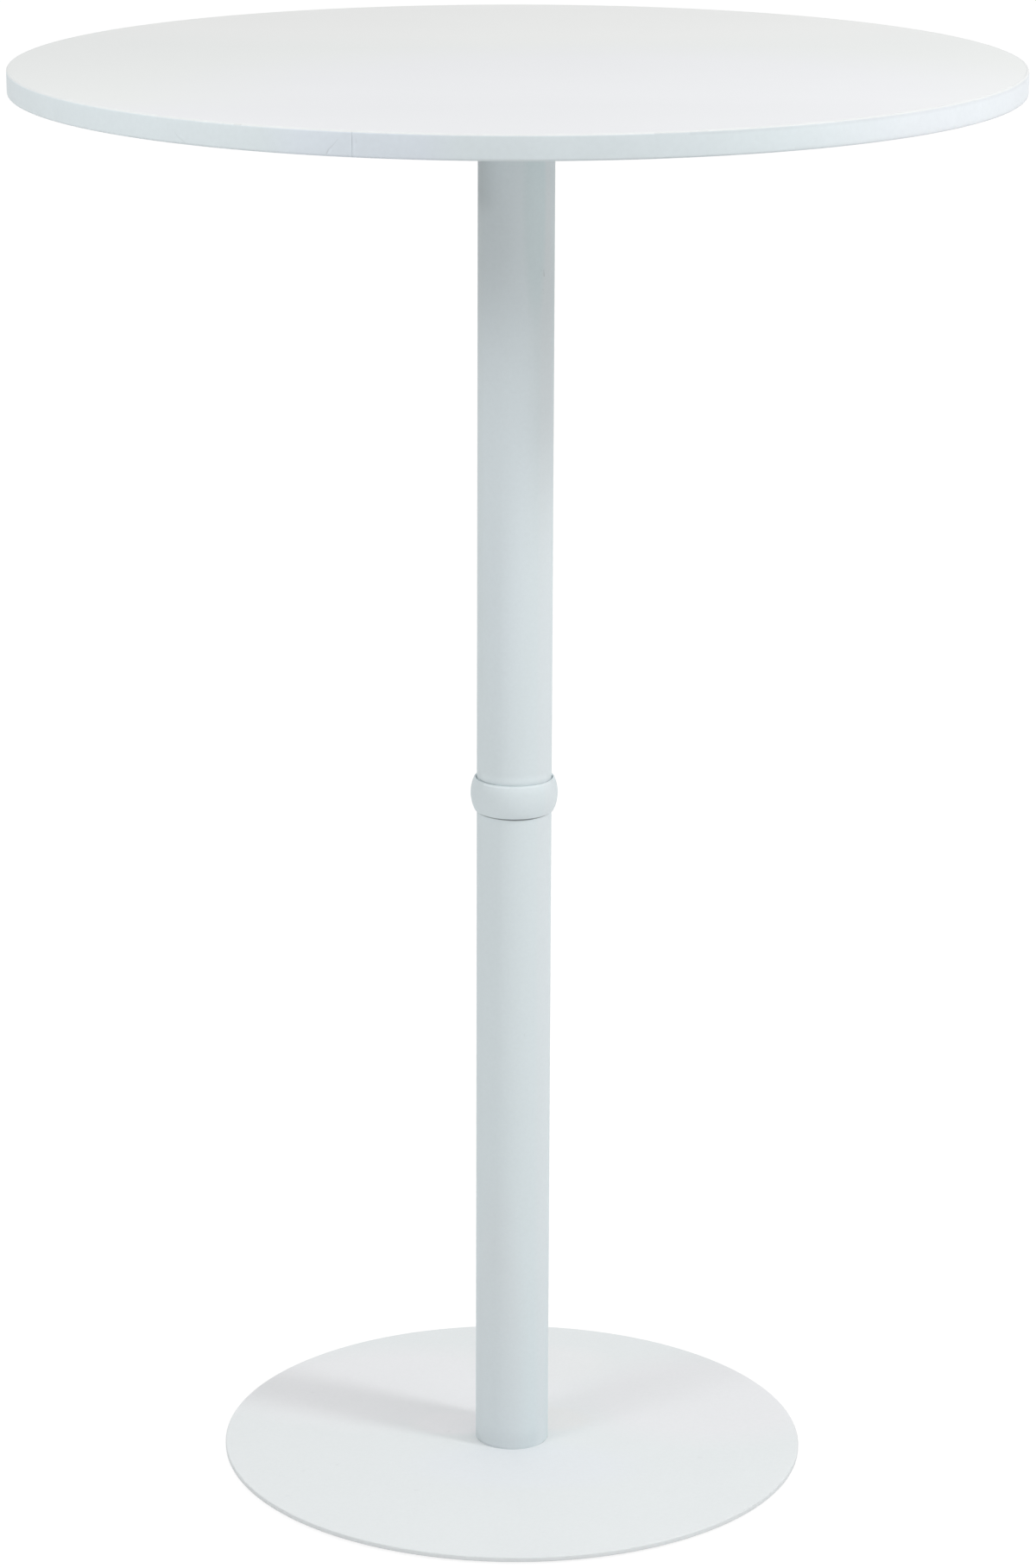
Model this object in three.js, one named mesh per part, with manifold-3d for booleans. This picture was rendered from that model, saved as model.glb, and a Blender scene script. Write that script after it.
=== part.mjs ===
// A round bar table: a laminated top with an edge band, a pressed four-arm support, a steel
// column in two equal tubes joined inside a barrel collar, and a flat round base plate.
// Millimetres, +Z up, the floor at z = 0 and the column on the Z axis.

import * as THREE from "three";
import { mergeVertices } from "three/addons/utils/BufferGeometryUtils.js";
import Module from "manifold-3d";

const wasm = await Module();
wasm.setup();

// Overall sizes
const overallHeight = 1100;
const topDiameter = 750;
const topThickness = 18;
const baseDiameter = 457;
const tubeDiameter = 57.5;
const tubeWall = 2;
const joinHeight = 541;

// Base plate and its pads
const plateThickness = 4;
const plateEdgeRadius = 1;
const padDiameter = 30;
const padThickness = 2;
const padBevelWidth = 0.5;
const padCount = 6;
const padInset = 22;

// Tabletop
const laminateThickness = 1;
const backingThickness = 1;
const bandThickness = 2;
const bandEdgeRadius = 1.5;
const bandSeamWidth = 0.2;
const bandSeamAngle = 253;
const glueGap = 0.2;

// Barrel collar over the join of the two tubes
const collarDiameter = 67;
const collarHeight = 27;
const collarBulgeDepth = 3.3;
const collarSocketGap = 0.7;
const collarWebThickness = 8;

// Discs welded into the tube ends
const endDiscThickness = 10;
const joinDiscThickness = 8;
const discGap = 0.3;
const discBevelWidth = 0.8;

// Stud and nuts that draw the two tubes together
const studDiameter = 16;
const studBevelWidth = 1.5;
const studOverhangLength = 3;
const nutAcrossFlats = 24;
const nutHeight = 13;
const nutBevelWidth = 1;
const threadGap = 0.3;

// Countersunk machine screws at both ends of the column
const screwDiameter = 6;
const screwLength = 16;
const screwHeadDiameter = 12;
const screwSocketAcrossFlats = 4;
const screwSocketDepth = 2;
const screwTipBevelWidth = 0.8;
const screwCount = 4;
const screwCircleRadius = 17;
const screwHoleGap = 0.3;

// Pressed four-arm support under the top
const supportSheetThickness = 4;
const supportArmLength = 210;
const supportArmRootWidth = 66;
const supportArmTipWidth = 40;
const supportTipRadius = 12;
const supportCornerRadius = 26;
const supportHubRadius = 60;
const supportHubDepth = 16;
const supportTipDepth = 8;
const supportBendRadius = 3;
const armCount = 4;
const armTurn = 45;

// Wood screws from the arms into the top
const woodScrewDiameter = 5;
const woodScrewLength = 16;
const woodScrewHeadDiameter = 10;
const woodScrewHeadHeight = 3;
const woodScrewTipLength = 4;
const woodScrewHoleGap = 0.3;
const woodScrewArmShares = [0.52, 0.88];

// One overrun serves every cut, and one distance merges vertices that belong together
const overrun = 5;
const mergeDistance = 1e-4;

// How finely round shapes are faceted
const facets = {
  top: 80, plate: 72, collar: 48, tube: 48, disc: 28, stud: 20, screw: 12, hole: 14, pad: 18,
};
const arcSteps = { edge: 3, barrel: 8, lip: 2, bend: 2, tip: 3, corner: 6, head: 3 };

// Heights above the floor. Faces that touch are both built from the same level.
const level = {};
level.plateBottom = padThickness;
level.plateTop = level.plateBottom + plateThickness;
level.footDiscTop = level.plateTop + endDiscThickness;
level.collarBottom = joinHeight - collarHeight / 2;
level.collarTop = joinHeight + collarHeight / 2;
level.lowerJoin = joinHeight - collarWebThickness / 2;
level.upperJoin = joinHeight + collarWebThickness / 2;
level.lowerJoinDisc = level.lowerJoin - joinDiscThickness;
level.upperJoinDisc = level.upperJoin + joinDiscThickness;
level.lowerNut = level.lowerJoinDisc - nutHeight;
level.upperNut = level.upperJoinDisc + nutHeight;
level.topSurface = overallHeight;
level.topUnderside = overallHeight - topThickness;
level.coreTop = level.topSurface - laminateThickness;
level.coreBottom = level.topUnderside + backingThickness;
level.columnTop = level.topUnderside - supportSheetThickness;
level.headDiscBottom = level.columnTop - endDiscThickness;

const topRadius = topDiameter / 2;
const baseRadius = baseDiameter / 2;
const tubeRadius = tubeDiameter / 2;
const tubeBore = tubeRadius - tubeWall;
const coreRadius = topRadius - bandThickness - glueGap;
const padCircleRadius = baseRadius - padInset;
const discRadius = tubeBore - discGap;
const studRadius = studDiameter / 2;
const threadBore = studRadius + threadGap;
const screwRadius = screwDiameter / 2;
const screwHole = screwRadius + screwHoleGap;
const woodScrewRadius = woodScrewDiameter / 2;
const woodScrewHole = woodScrewRadius + woodScrewHoleGap;

// Finishes
function finish(color, roughness, metalness) {
  return new THREE.MeshStandardMaterial({ color, roughness, metalness });
}

const finishes = {
  laminate: finish(0xe9eae9, 0.45, 0),
  band: finish(0xdfe3e4, 0.4, 0),
  board: finish(0xb99a70, 0.85, 0),
  paint: finish(0xdce2e3, 0.38, 0.1),
  steel: finish(0x9a9c9e, 0.4, 0.9),
  zinc: finish(0xb4b6b4, 0.35, 0.85),
  rubber: finish(0x2b2c2d, 0.9, 0),
};

// Closed triangle geometry to a solid and back
function toSolid(geometry) {
  const bare = geometry.clone();
  bare.deleteAttribute("normal");
  bare.deleteAttribute("uv");
  const merged = mergeVertices(bare, mergeDistance);
  const corners = merged.index.array;
  const triVerts = [];
  for (let i = 0; i < corners.length; i += 3) {
    const [a, b, c] = [corners[i], corners[i + 1], corners[i + 2]];
    if (a !== b && b !== c && c !== a) triVerts.push(a, b, c);
  }
  const vertProperties = new Float32Array(merged.attributes.position.array);
  const mesh = new wasm.Mesh({ numProp: 3, vertProperties, triVerts: new Uint32Array(triVerts) });
  return new wasm.Manifold(mesh);
}

function toGeometry(solid) {
  const mesh = solid.getMesh();
  const geometry = new THREE.BufferGeometry();
  geometry.setAttribute("position", new THREE.BufferAttribute(new Float32Array(mesh.vertProperties), 3));
  geometry.setIndex(new THREE.BufferAttribute(new Uint32Array(mesh.triVerts), 1));
  geometry.computeVertexNormals();
  return geometry;
}

function cut(geometry, cutters) {
  let solid = toSolid(geometry);
  for (const cutter of cutters) solid = solid.subtract(toSolid(cutter));
  return toGeometry(solid);
}

function trim(geometry, envelope) {
  return toGeometry(toSolid(geometry).intersect(toSolid(envelope)));
}

// A profile of [radius, height] points turned about the Z axis
function revolve(profile, segments) {
  const points = profile.map(([radius, height]) => new THREE.Vector2(radius, height));
  return new THREE.LatheGeometry(points, segments).rotateX(Math.PI / 2);
}

// A ring profile closes on itself, so its first point is repeated at the end
function revolveRing(profile, segments) {
  return revolve([...profile, profile[0]], segments);
}

// Points on an arc in the profile plane, from one angle in degrees to another
function arc(centreRadius, centreHeight, radius, from, to, steps) {
  const points = [];
  for (let i = 0; i <= steps; i++) {
    const angle = THREE.MathUtils.degToRad(from + ((to - from) * i) / steps);
    points.push([centreRadius + radius * Math.cos(angle), centreHeight + radius * Math.sin(angle)]);
  }
  return points;
}

// A round bar between two heights, with an optional bevel at each end
function roundBar(radius, bottom, top, segments, bottomBevel = 0, topBevel = 0) {
  const profile = [[0, bottom], [radius - bottomBevel, bottom]];
  if (bottomBevel) profile.push([radius, bottom + bottomBevel]);
  if (topBevel) profile.push([radius, top - topBevel]);
  profile.push([radius - topBevel, top], [0, top]);
  return revolve(profile, segments);
}

// A hexagonal bar between two heights, measured across its flats
function hexBar(acrossFlats, bottom, top) {
  const corner = acrossFlats / 2 / Math.cos(Math.PI / 6);
  return revolve([[0, bottom], [corner, bottom], [corner, top], [0, top]], 6);
}

// Places round the Z axis: count points at one radius, starting at an angle in degrees
function around(count, radius, startAngle = 0) {
  return Array.from({ length: count }, (unused, i) => {
    const angle = THREE.MathUtils.degToRad(startAngle + (360 * i) / count);
    return { x: radius * Math.cos(angle), y: radius * Math.sin(angle) };
  });
}

// A named sub-part, added to its group at its place
function part(group, name, geometry, material, place = { x: 0, y: 0 }) {
  const mesh = new THREE.Mesh(geometry, material);
  mesh.name = name;
  mesh.position.set(place.x, place.y, 0);
  group.add(mesh);
}

function moved(geometry, place) {
  return geometry.clone().translate(place.x, place.y, 0);
}

const screwPlaces = around(screwCount, screwCircleRadius, armTurn);
const woodScrewPlaces = woodScrewArmShares.flatMap((share) => {
  return around(armCount, supportArmLength * share, armTurn);
});

// Countersunk screw: the head's flat face at one height, the shank running up or down from it
function countersunkProfile(headFace, direction, radius, headRadius, length) {
  const cone = headRadius - radius;
  return [
    [headRadius, headFace],
    [radius, headFace + direction * cone],
    [radius, headFace + direction * length],
  ];
}

function countersunkScrew(headFace, direction) {
  const headRadius = screwHeadDiameter / 2;
  const straight = screwLength - screwTipBevelWidth;
  const body = countersunkProfile(headFace, direction, screwRadius, headRadius, straight);
  const tip = headFace + direction * screwLength;
  const profile = [[0, headFace], ...body, [screwRadius - screwTipBevelWidth, tip], [0, tip]];
  if (direction < 0) profile.reverse();
  const socketEnds = [headFace - direction * overrun, headFace + direction * screwSocketDepth];
  const socket = hexBar(screwSocketAcrossFlats, Math.min(...socketEnds), Math.max(...socketEnds));
  return cut(revolve(profile, facets.screw), [socket]);
}

// The hole that such a screw sits in, with its clearance all round and open at both ends
function countersunkHole(headFace, direction) {
  const rim = screwHeadDiameter / 2 + screwHoleGap;
  const body = countersunkProfile(headFace, direction, screwHole, rim, screwLength + overrun);
  const outside = headFace - direction * overrun;
  const end = headFace + direction * (screwLength + overrun);
  const profile = [[0, outside], [rim, outside], ...body, [0, end]];
  if (direction < 0) profile.reverse();
  return revolve(profile, facets.hole);
}

// Base plate: a flat round steel plate with eased edges and four countersunk holes
function basePlate() {
  const { plateBottom: bottom, plateTop: top } = level;
  const round = plateEdgeRadius;
  const profile = [
    [0, bottom],
    ...arc(baseRadius - round, bottom + round, round, -90, 0, arcSteps.edge),
    ...arc(baseRadius - round, top - round, round, 0, 90, arcSteps.edge),
    [0, top],
  ];
  const holes = screwPlaces.map((place) => moved(countersunkHole(bottom, 1), place));
  return cut(revolve(profile, facets.plate), holes);
}

function floorPad() {
  return roundBar(padDiameter / 2, 0, padThickness, facets.pad, padBevelWidth);
}

function tube(bottom, top) {
  const profile = [[tubeBore, bottom], [tubeRadius, bottom], [tubeRadius, top], [tubeBore, top]];
  return revolveRing(profile, facets.tube);
}

// Disc at a column end, with a tapped hole for each machine screw
function endDisc(bottom, top) {
  const hole = roundBar(screwHole, bottom - overrun, top + overrun, facets.hole);
  const disc = roundBar(discRadius, bottom, top, facets.disc, discBevelWidth, discBevelWidth);
  return cut(disc, screwPlaces.map((place) => moved(hole, place)));
}

// Disc at the join, with one hole for the stud
function joinDisc(bottom, top) {
  const profile = [
    [threadBore, bottom],
    [discRadius - discBevelWidth, bottom],
    [discRadius, bottom + discBevelWidth],
    [discRadius, top - discBevelWidth],
    [discRadius - discBevelWidth, top],
    [threadBore, top],
  ];
  return revolveRing(profile, facets.disc);
}

// Hexagon nut with its corners turned off at both faces
function nut(bottom, top) {
  const corner = nutAcrossFlats / 2 / Math.cos(Math.PI / 6);
  const flat = nutAcrossFlats / 2;
  const envelope = revolve(
    [[0, bottom], [flat, bottom], [corner, bottom + nutBevelWidth],
      [corner, top - nutBevelWidth], [flat, top], [0, top]],
    facets.disc
  );
  const bore = roundBar(threadBore, bottom - overrun, top + overrun, facets.stud);
  return cut(trim(hexBar(nutAcrossFlats, bottom, top), envelope), [bore]);
}

function joinStud() {
  const [bottom, top] = [level.lowerNut - studOverhangLength, level.upperNut + studOverhangLength];
  return roundBar(studRadius, bottom, top, facets.stud, studBevelWidth, studBevelWidth);
}

// Barrel collar: a bulged ring with a socket for each tube, and a web between the tube ends
function barrelCollar() {
  const half = collarHeight / 2;
  const barrelRadius = (half ** 2 + collarBulgeDepth ** 2) / (2 * collarBulgeDepth);
  const rimRadius = collarDiameter / 2 - collarBulgeDepth;
  const socketRadius = tubeRadius + collarSocketGap;
  const lip = (rimRadius - socketRadius) / 2;
  const barrelCentre = collarDiameter / 2 - barrelRadius;
  const sweep = THREE.MathUtils.radToDeg(Math.asin((half - lip) / barrelRadius));
  const lipCentre = socketRadius + lip;
  const profile = [
    [threadBore, level.lowerJoin],
    [socketRadius, level.lowerJoin],
    ...arc(lipCentre, level.collarBottom + lip, lip, 180, 270, arcSteps.lip),
    ...arc(barrelCentre, joinHeight, barrelRadius, -sweep, sweep, arcSteps.barrel),
    ...arc(lipCentre, level.collarTop - lip, lip, 90, 180, arcSteps.lip),
    [socketRadius, level.upperJoin],
    [threadBore, level.upperJoin],
  ];
  return revolveRing(profile, facets.collar);
}

// Outline of the four-arm support, drawn in by an inset so that one rule serves wall and bend
function supportOutline(inset) {
  const slope = Math.atan2((supportArmRootWidth - supportArmTipWidth) / 2, supportArmLength);
  const normal = new THREE.Vector2(Math.sin(slope), Math.cos(slope));
  const side = (supportArmRootWidth / 2) * Math.cos(slope);
  const tipX = supportArmLength - supportTipRadius;
  const tipY = (side - supportTipRadius - normal.x * tipX) / normal.y;
  const cornerReach = (side + supportCornerRadius) / (normal.x + normal.y);
  const quarter = Math.PI / 2;
  const tip = supportTipRadius - inset;
  const corner = supportCornerRadius + inset;

  const outline = [];
  const origin = new THREE.Vector2();
  const turnRound = (centreX, centreY, radius, from, to, steps, arm) => {
    const turn = arm * quarter + THREE.MathUtils.degToRad(armTurn);
    for (let i = 0; i <= steps; i++) {
      const angle = from + ((to - from) * i) / steps;
      const x = centreX + radius * Math.cos(angle);
      const y = centreY + radius * Math.sin(angle);
      outline.push(new THREE.Vector2(x, y).rotateAround(origin, turn));
    }
  };
  for (let arm = 0; arm < armCount; arm++) {
    turnRound(tipX, -tipY, tip, slope - quarter, 0, arcSteps.tip, arm);
    turnRound(tipX, tipY, tip, 0, quarter - slope, arcSteps.tip, arm);
    const [leaving, meeting] = [3 * quarter - slope, 2 * quarter + slope];
    turnRound(cornerReach, cornerReach, corner, leaving, meeting, arcSteps.corner, arm);
  }
  return outline;
}

// Outlines with equal numbers of points, stacked upwards and skinned into one closed body
function loft(rings) {
  const count = rings[0].outline.length;
  const positions = rings.flatMap(({ outline, height }) => {
    return outline.flatMap((point) => [point.x, point.y, height]);
  });
  const indices = [];
  for (let ring = 0; ring < rings.length - 1; ring++) {
    for (let i = 0; i < count; i++) {
      const [a, b] = [ring * count + i, ring * count + ((i + 1) % count)];
      indices.push(a, b, b + count, a, b + count, a + count);
    }
  }
  const last = (rings.length - 1) * count;
  for (const [a, b, c] of THREE.ShapeUtils.triangulateShape(rings[0].outline, [])) indices.push(a, c, b);
  for (const [a, b, c] of THREE.ShapeUtils.triangulateShape(rings.at(-1).outline, [])) {
    indices.push(last + a, last + b, last + c);
  }
  const geometry = new THREE.BufferGeometry();
  geometry.setAttribute("position", new THREE.Float32BufferAttribute(positions, 3));
  geometry.setIndex(indices);
  return geometry;
}

// Four-arm support: sheet pressed into a shallow channel, its folded edge tapering to the tips
function topSupport() {
  const top = level.topUnderside;
  const bottom = top - supportHubDepth - overrun;
  const outerRings = [{ outline: supportOutline(0), height: bottom }];
  for (let i = 0; i <= arcSteps.bend; i++) {
    const angle = (Math.PI / 2) * (i / arcSteps.bend);
    const inset = supportBendRadius * (1 - Math.cos(angle));
    const height = top - supportBendRadius * (1 - Math.sin(angle));
    outerRings.push({ outline: supportOutline(inset), height });
  }
  const innerRings = [bottom - overrun, top - supportSheetThickness].map((height) => {
    return { outline: supportOutline(supportSheetThickness), height };
  });
  const taper = revolve(
    [
      [0, bottom - overrun],
      [supportArmLength + overrun, bottom - overrun],
      [supportArmLength + overrun, top - supportTipDepth],
      [supportArmLength, top - supportTipDepth],
      [supportHubRadius, top - supportHubDepth],
      [0, top - supportHubDepth],
    ],
    facets.plate
  );
  const screwHoles = screwPlaces.map((place) => moved(countersunkHole(top, -1), place));
  const woodScrewBore = roundBar(woodScrewHole, bottom, top + overrun, facets.hole);
  const woodScrewHoles = woodScrewPlaces.map((place) => moved(woodScrewBore, place));
  return cut(loft(outerRings), [loft(innerRings), taper, ...screwHoles, ...woodScrewHoles]);
}

// Pan-head wood screw, its head under the arm and its point in the board
function woodScrew() {
  const seat = level.columnTop;
  const headRadius = woodScrewHeadDiameter / 2;
  const dome = [];
  for (let i = 0; i <= arcSteps.head; i++) {
    const angle = (Math.PI / 2) * (i / arcSteps.head);
    dome.push([headRadius * Math.sin(angle), seat - woodScrewHeadHeight * Math.cos(angle)]);
  }
  const point = seat + woodScrewLength;
  return revolve(
    [...dome, [woodScrewRadius, seat], [woodScrewRadius, point - woodScrewTipLength], [0, point]],
    facets.screw
  );
}

// Flat round sheet or board of the top, with a hole for each wood screw that reaches it
function topLayer(bottom, top, holeTop) {
  const hole = roundBar(woodScrewHole, bottom - overrun, holeTop, facets.hole);
  const holes = woodScrewPlaces.map((place) => moved(hole, place));
  return cut(roundBar(coreRadius, bottom, top, facets.top), holes);
}

// Edge band: a strip with rounded corners, bent round the top until its ends meet at a seam
function edgeBand() {
  const [bottom, top] = [level.topUnderside, level.topSurface];
  const inner = topRadius - bandThickness;
  const band = revolveRing(
    [
      [inner, bottom],
      ...arc(topRadius - bandEdgeRadius, bottom + bandEdgeRadius, bandEdgeRadius, -90, 0, arcSteps.edge),
      ...arc(topRadius - bandEdgeRadius, top - bandEdgeRadius, bandEdgeRadius, 0, 90, arcSteps.edge),
      [inner, top],
    ],
    facets.top
  );
  const [seamDepth, seamHeight] = [bandThickness + 2 * overrun, topThickness + 2 * overrun];
  const seam = new THREE.BoxGeometry(seamDepth, bandSeamWidth, seamHeight);
  seam.translate(topRadius, 0, (bottom + top) / 2);
  seam.rotateZ(THREE.MathUtils.degToRad(bandSeamAngle));
  return cut(band, [seam]);
}

function addBase(table) {
  const base = new THREE.Group();
  const pad = floorPad();
  around(padCount, padCircleRadius).forEach((place, i) => {
    part(base, `floor_pad_${i + 1}`, pad, finishes.rubber, place);
  });
  part(base, "base_plate", basePlate(), finishes.paint);
  const screw = countersunkScrew(level.plateBottom, 1);
  screwPlaces.forEach((place, i) => {
    part(base, `base_screw_${i + 1}`, screw, finishes.zinc, place);
  });
  table.add(base);
}

function addColumn(table) {
  const column = new THREE.Group();
  part(column, "lower_tube", tube(level.plateTop, level.lowerJoin), finishes.paint);
  part(column, "foot_disc", endDisc(level.plateTop, level.footDiscTop), finishes.steel);
  part(column, "lower_join_disc", joinDisc(level.lowerJoinDisc, level.lowerJoin), finishes.steel);
  part(column, "lower_join_nut", nut(level.lowerNut, level.lowerJoinDisc), finishes.steel);
  part(column, "join_stud", joinStud(), finishes.zinc);
  part(column, "collar", barrelCollar(), finishes.paint);
  part(column, "upper_join_disc", joinDisc(level.upperJoin, level.upperJoinDisc), finishes.steel);
  part(column, "upper_join_nut", nut(level.upperJoinDisc, level.upperNut), finishes.steel);
  part(column, "upper_tube", tube(level.upperJoin, level.columnTop), finishes.paint);
  part(column, "head_disc", endDisc(level.headDiscBottom, level.columnTop), finishes.steel);
  table.add(column);
}

function addSupport(table) {
  const support = new THREE.Group();
  part(support, "top_support", topSupport(), finishes.paint);
  const screw = countersunkScrew(level.topUnderside, -1);
  screwPlaces.forEach((place, i) => {
    part(support, `support_screw_${i + 1}`, screw, finishes.zinc, place);
  });
  const fixing = woodScrew();
  woodScrewPlaces.forEach((place, i) => {
    part(support, `tabletop_screw_${i + 1}`, fixing, finishes.zinc, place);
  });
  table.add(support);
}

function addTop(table) {
  const top = new THREE.Group();
  const screwPoint = level.columnTop + woodScrewLength + woodScrewHoleGap;
  const through = level.coreBottom + overrun;
  part(top, "tabletop_backing", topLayer(level.topUnderside, level.coreBottom, through), finishes.laminate);
  part(top, "tabletop_core", topLayer(level.coreBottom, level.coreTop, screwPoint), finishes.board);
  const surface = roundBar(coreRadius, level.coreTop, level.topSurface, facets.top);
  part(top, "tabletop_laminate", surface, finishes.laminate);
  part(top, "tabletop_edge_band", edgeBand(), finishes.band);
  table.add(top);
}

const table = new THREE.Group();
table.name = "bar_table";
addBase(table);
addColumn(table);
addSupport(table);
addTop(table);

export default table;
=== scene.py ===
import math

import bmesh
import bpy
from mathutils import Matrix, Vector


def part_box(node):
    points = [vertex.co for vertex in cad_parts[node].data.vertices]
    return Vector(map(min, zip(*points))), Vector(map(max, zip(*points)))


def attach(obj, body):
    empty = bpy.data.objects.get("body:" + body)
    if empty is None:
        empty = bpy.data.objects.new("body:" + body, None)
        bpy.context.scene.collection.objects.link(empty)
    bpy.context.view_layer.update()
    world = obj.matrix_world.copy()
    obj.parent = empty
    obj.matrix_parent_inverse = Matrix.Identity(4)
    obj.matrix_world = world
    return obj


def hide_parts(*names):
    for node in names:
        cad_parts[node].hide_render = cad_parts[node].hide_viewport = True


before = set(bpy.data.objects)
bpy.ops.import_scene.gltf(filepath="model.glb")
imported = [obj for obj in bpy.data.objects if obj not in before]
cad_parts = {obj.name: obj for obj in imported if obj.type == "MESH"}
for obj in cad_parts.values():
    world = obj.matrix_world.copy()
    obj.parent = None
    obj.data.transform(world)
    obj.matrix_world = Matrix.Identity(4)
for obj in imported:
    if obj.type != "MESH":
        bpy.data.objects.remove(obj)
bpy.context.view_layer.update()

MM = 0.001

# The photograph's frame, and the camera fitted to it. The lens points at AXIS_X, left of the middle.
IMAGE_WIDTH = 1200
IMAGE_HEIGHT = 1817
AXIS_X = 504.342
FOCAL_PIXELS = 5490.447
SENSOR_SIZE = 36.0
CAMERA_DISTANCE = 3.505532
CAMERA_HEIGHT = 1.541874
CAMERA_PITCH = math.radians(15.841)
CAMERA_YAW = math.radians(0.9899)
CAMERA_ROLL = math.radians(-0.0543)

# Soft boxes round the table: azimuth in degrees, distance from the column, level, the level on the
# column that the box is aimed at, width, all in metres, and power in watts
SOFT_BOXES = {
    "key_box": {"azimuth": 334, "reach": 2.0, "level": 2.5, "aim": 0.6, "width": 0.45, "power": 15.2},
    "low_box": {"azimuth": 334, "reach": 2.0, "level": 1.3, "aim": 0.6, "width": 0.45, "power": 3.7},
    "fill_box": {"azimuth": 220, "reach": 2.0, "level": 1.8, "aim": 0.6, "width": 0.5, "power": 4.27},
    "left_box": {"azimuth": 228, "reach": 1.0, "level": 1.3, "aim": 1.0, "width": 0.4, "power": 1.08},
    "right_box": {"azimuth": 320, "reach": 1.0, "level": 1.3, "aim": 1.0, "width": 0.4, "power": 0.66},
}

# Brightness of the sky that lights the object: dark at the horizon, brightest at mid height, and
# less straight above. The stops are heights of the view direction, from 0 to 1.
SKY_STOPS = [
    (0.34, 0.0), (0.45, 1.25), (0.57, 1.25), (0.64, 0.65),
    (0.76, 0.65), (0.82, 0.92), (0.94, 0.92), (1.0, 0.45),
]
WHITE = (1, 1, 1, 1)

# The floor: its width in metres, its colour as a light source and where it is seen, and its own glow
FLOOR_SIZE = 60.0
FLOOR_BOUNCE = (0.85, 0.85, 0.85, 1)
FLOOR_SHADE = (0.2, 0.2, 0.2, 1)
FLOOR_GLOW = 0.87

# Colours from 0 to 255, as the eye sees them under plain light
PAINT_COLOUR = (230, 240, 243)
# The base plate has the column's powder coat, painted warmer and lighter where it faces up to the light: a
# lit copy of the same paint
PLATE_LIT_PAINT_COLOUR = (236, 240, 241)
LAMINATE_COLOUR = (235, 237, 236)
BAND_COLOUR = (225, 234, 237)
# The band's upper rounding is painted lighter where it faces up to the light: a painted highlight
BAND_RIM_HIGHLIGHT_COLOUR = (234, 236, 236)
BACKING_COLOUR = (168, 165, 160)
BOARD_COLOUR = (190, 160, 118)
CHIP_COLOUR = (140, 104, 66)
STEEL_COLOUR = (150, 152, 154)
ZINC_COLOUR = (186, 189, 190)
RUBBER_COLOUR = (42, 43, 44)

# The curve from such values to linear light: straight up to its knee, and a power above it
CURVE_KNEE = 0.04045
CURVE_SLOPE = 12.92
CURVE_OFFSET = 0.055
CURVE_POWER = 2.4

# Sizes that the nodes' boxes don't give
TUBE_WALL = 2 * MM
TUBE_END_EASE = 0.25 * MM
BAND_THICKNESS = 2 * MM
BAND_ROUNDING = 1.5 * MM
BAND_SEAM_ANGLE = 253.02
BAND_SEAM_WIDTH = 0.09 * MM
BAND_END_EASE = 0.08 * MM
GLUE_LINE = 0.05 * MM
PLATE_ROUNDING = 1 * MM
COLLAR_BULGE = 3.3 * MM
COLLAR_GAP = 0.7 * MM
COLLAR_ROUNDING = 1.2 * MM
COLLAR_EASE = 0.25 * MM
COLLAR_TRIM = 0.8 * MM
COLLAR_LIP_TURN = 80
COLLAR_WEB = 8 * MM
STUD_BORE = 8.3 * MM
SCREW_RADIUS = 3 * MM
SCREW_HEAD_RADIUS = 6 * MM
SCREW_GAP = 0.3 * MM
SCREW_EASE = 0.2 * MM
SCREW_TIP = 0.8 * MM
SOCKET_FLATS = 4 * MM
SOCKET_DEPTH = 2 * MM
SHEET_THICKNESS = 4 * MM
ARM_LENGTH = 210 * MM
ARM_ROOT_WIDTH = 66 * MM
ARM_TIP_WIDTH = 40 * MM
ARM_TIP_RADIUS = 12 * MM
ARM_CORNER_RADIUS = 26 * MM
ARM_TURN = math.radians(45)
HUB_RADIUS = 60 * MM
HUB_DEPTH = 16 * MM
TIP_DEPTH = 8 * MM
FOLD_RADIUS = 3 * MM
INNER_FOLD_RADIUS = 1.5 * MM
WOOD_SCREW_RADIUS = 2.5 * MM
WOOD_SCREW_GAP = 0.3 * MM
WOOD_SCREW_TIP = 4 * MM
WOOD_SCREW_POINT_RADIUS = 0.2 * MM
PAN_HEAD_HEIGHT = 3 * MM
PAN_HEAD_FLAT = 2.4 * MM
CROSS_REACH = 2.2 * MM
CROSS_HALF_WIDTH = 0.55 * MM
CROSS_DEPTH = 1.6 * MM
CROSS_BOTTOM_SHARE = 0.5
PAD_EASE = 0.6 * MM
PAD_GROOVE_RADII = (5 * MM, 10 * MM)
PAD_GROOVE_WIDTH = 1.2 * MM
PAD_GROOVE_DEPTH = 0.4 * MM
PAD_GROOVE_SLOPE = 0.2 * MM

# How many of a kind there are
ARM_COUNT = 4
PAD_COUNT = 6
SCREW_COUNT = 4
SCREWS_PER_ARM = 2

# How finely the round pieces are cut
TOP_SEGMENTS = 360
PLATE_SEGMENTS = 288
TUBE_SEGMENTS = 144
SCREW_SEGMENTS = 48
PAD_SEGMENTS = 72
TUBE_RINGS = 9

# The angle from which an edge is sharp, the flat ring beside a rounded edge, how far a cutter runs
# past what it cuts, and the least divisor
SHARP_ANGLE = math.radians(32)
EDGE_RING = 1 * MM
OVERRUN = 5 * MM
LEAST_DIVISOR = 1e-9

# Steps in small round shapes
BAND_ARC_STEPS = 8
PLATE_ARC_STEPS = 6
COLLAR_LIP_STEPS = 6
COLLAR_BARREL_STEPS = 32
PAD_ARC_STEPS = 4
SUPPORT_TIP_STEPS = 10
SUPPORT_CORNER_STEPS = 16
FOLD_STEPS = 6
HEAD_STEPS = 8

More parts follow.
